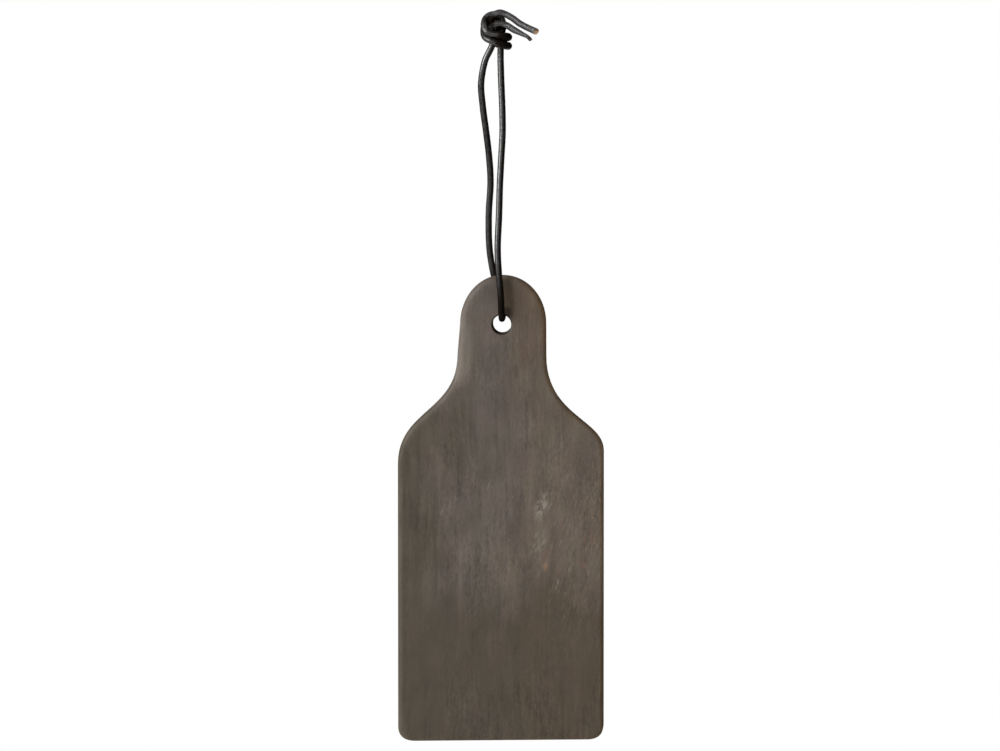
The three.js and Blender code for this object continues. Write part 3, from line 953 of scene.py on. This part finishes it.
def blackLeather():
    material, tree, shader = newMaterial("black leather")
    place = tree.nodes.new("ShaderNodeTexCoord").outputs["Object"]
    apart = addNode(tree, "ShaderNodeSeparateXYZ", vector=place)
    pebbles = addNode(tree, "ShaderNodeTexNoise", vector=place, scale=leather["pebbleScale"],
                      detail=2.0, roughness=0.6).outputs["Fac"]
    wear = addNode(tree, "ShaderNodeTexNoise", vector=place, scale=leather["wearScale"],
                   detail=3.0, roughness=0.6).outputs["Fac"]
    dull, unlit = dullParts(tree, place, apart)
    onTails, sheenArea, upper = tailParts(tree, place, apart)

    # wear in spots, less of it where the lace is unlit: painted shade inside the knot, behind and towards
    # the hole
    worn = multiply(tree, spots(tree, wear, 0.45, 0.75), remap(tree, unlit, 0, 1, 1.0, leather["wornLeast"]))
    colour = mixColour(tree, "MIX", worn, leather["dye"], leather["scuff"])
    # painted sheen on the tails' upper sides, the top of the loop and its left side
    grey = multiply(tree, remap(tree, pebbles, 0.35, 0.65, *leather["pebbleSheen"]), upper)
    colour = mixColour(tree, "MIX", multiply(tree, sheenArea, grey), colour, leather["tail"])
    # painted highlight just before the upper tail's cut
    cutHighlight = multiply(tree, zone(tree, place, *leather["cutHighlightPlace"]),
                      remap(tree, pebbles, 0.40, 0.60, *leather["pebbleHighlight"]))
    colour = mixColour(tree, "MIX", cutHighlight, colour, leather["cutHighlight"])
    connect(tree, shader.inputs["Base Color"], colour)

    soft = multiply(tree, zone(tree, place, *leather["softPlace"]), leather["softMore"])
    sheen = combine(tree, "ADD", remap(tree, wear, 0.3, 0.7, *leather["sheen"]), soft)
    sheen = combine(tree, "ADD", sheen, multiply(tree, dull, leather["dullMore"]))
    connect(tree, shader.inputs["Roughness"], sheen)
    gloss = remap(tree, unlit, 0, 1, leather["gloss"], leather["dullGloss"])
    gloss = multiply(tree, gloss, remap(tree, pebbles, 0.35, 0.65, *leather["speckle"]))
    gloss = multiply(tree, gloss, mixValue(tree, onTails, 1.0, upper))
    connect(tree, shader.inputs["Specular IOR Level"], gloss)
    connect(tree, shader.inputs["IOR"], remap(tree, onTails, 0, 1, leather["bend"], leather["tailBend"]))
    bump = addNode(tree, "ShaderNodeBump", strength=leather["bump"], distance=leather["bumpDepth"],
                   height=pebbles)
    connect(tree, shader.inputs["Normal"], bump.outputs["Normal"])
    return material


def cutLeather():
    material, tree, shader = newMaterial("cut leather")
    place = tree.nodes.new("ShaderNodeTexCoord").outputs["Object"]
    height = addNode(tree, "ShaderNodeSeparateXYZ", vector=place).outputs["Z"]
    fibres = addNode(tree, "ShaderNodeTexNoise", vector=place, scale=leather["fibreScale"],
                     detail=2.0, roughness=0.6).outputs["Fac"]
    ragged = combine(tree, "SUBTRACT", fibres, 0.5)
    pale = combine(tree, "ADD", remap(tree, height, leather["cutTop"], leather["cutFoot"], 0, 1), ragged)
    colour = mixColour(tree, "MIX", pale, leather["coreDark"], leather["core"])
    lower = remap(tree, height, leather["lowerCutEnd"], leather["lowerCutStart"], 1, 0)
    colour = mixColour(tree, "MIX", lower, colour, leather["coreGrey"])
    connect(tree, shader.inputs["Base Color"], colour)
    shader.inputs["Roughness"].default_value = leather["cutRoughness"]
    return material


boardMesh.data.materials.append(stainedWood())
laceMesh.data.materials.append(blackLeather())
laceMesh.data.materials.append(cutLeather())
print("finishes set")


# What each piece rides on and stands for

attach(boardMesh, "board")
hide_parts("wooden_board")

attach(laceMesh, "lace")
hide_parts("leather_lace")


def centreline():
    points = []
    for i, (leaving, arriving) in enumerate(tangents(route)):
        start, end = route[i], route[i + 1]
        points += interpolate_bezier(start, start + leaving / 3, end - arriving / 3, end, 9)[:-1]
    return points + [route[-1]]


line = centreline()
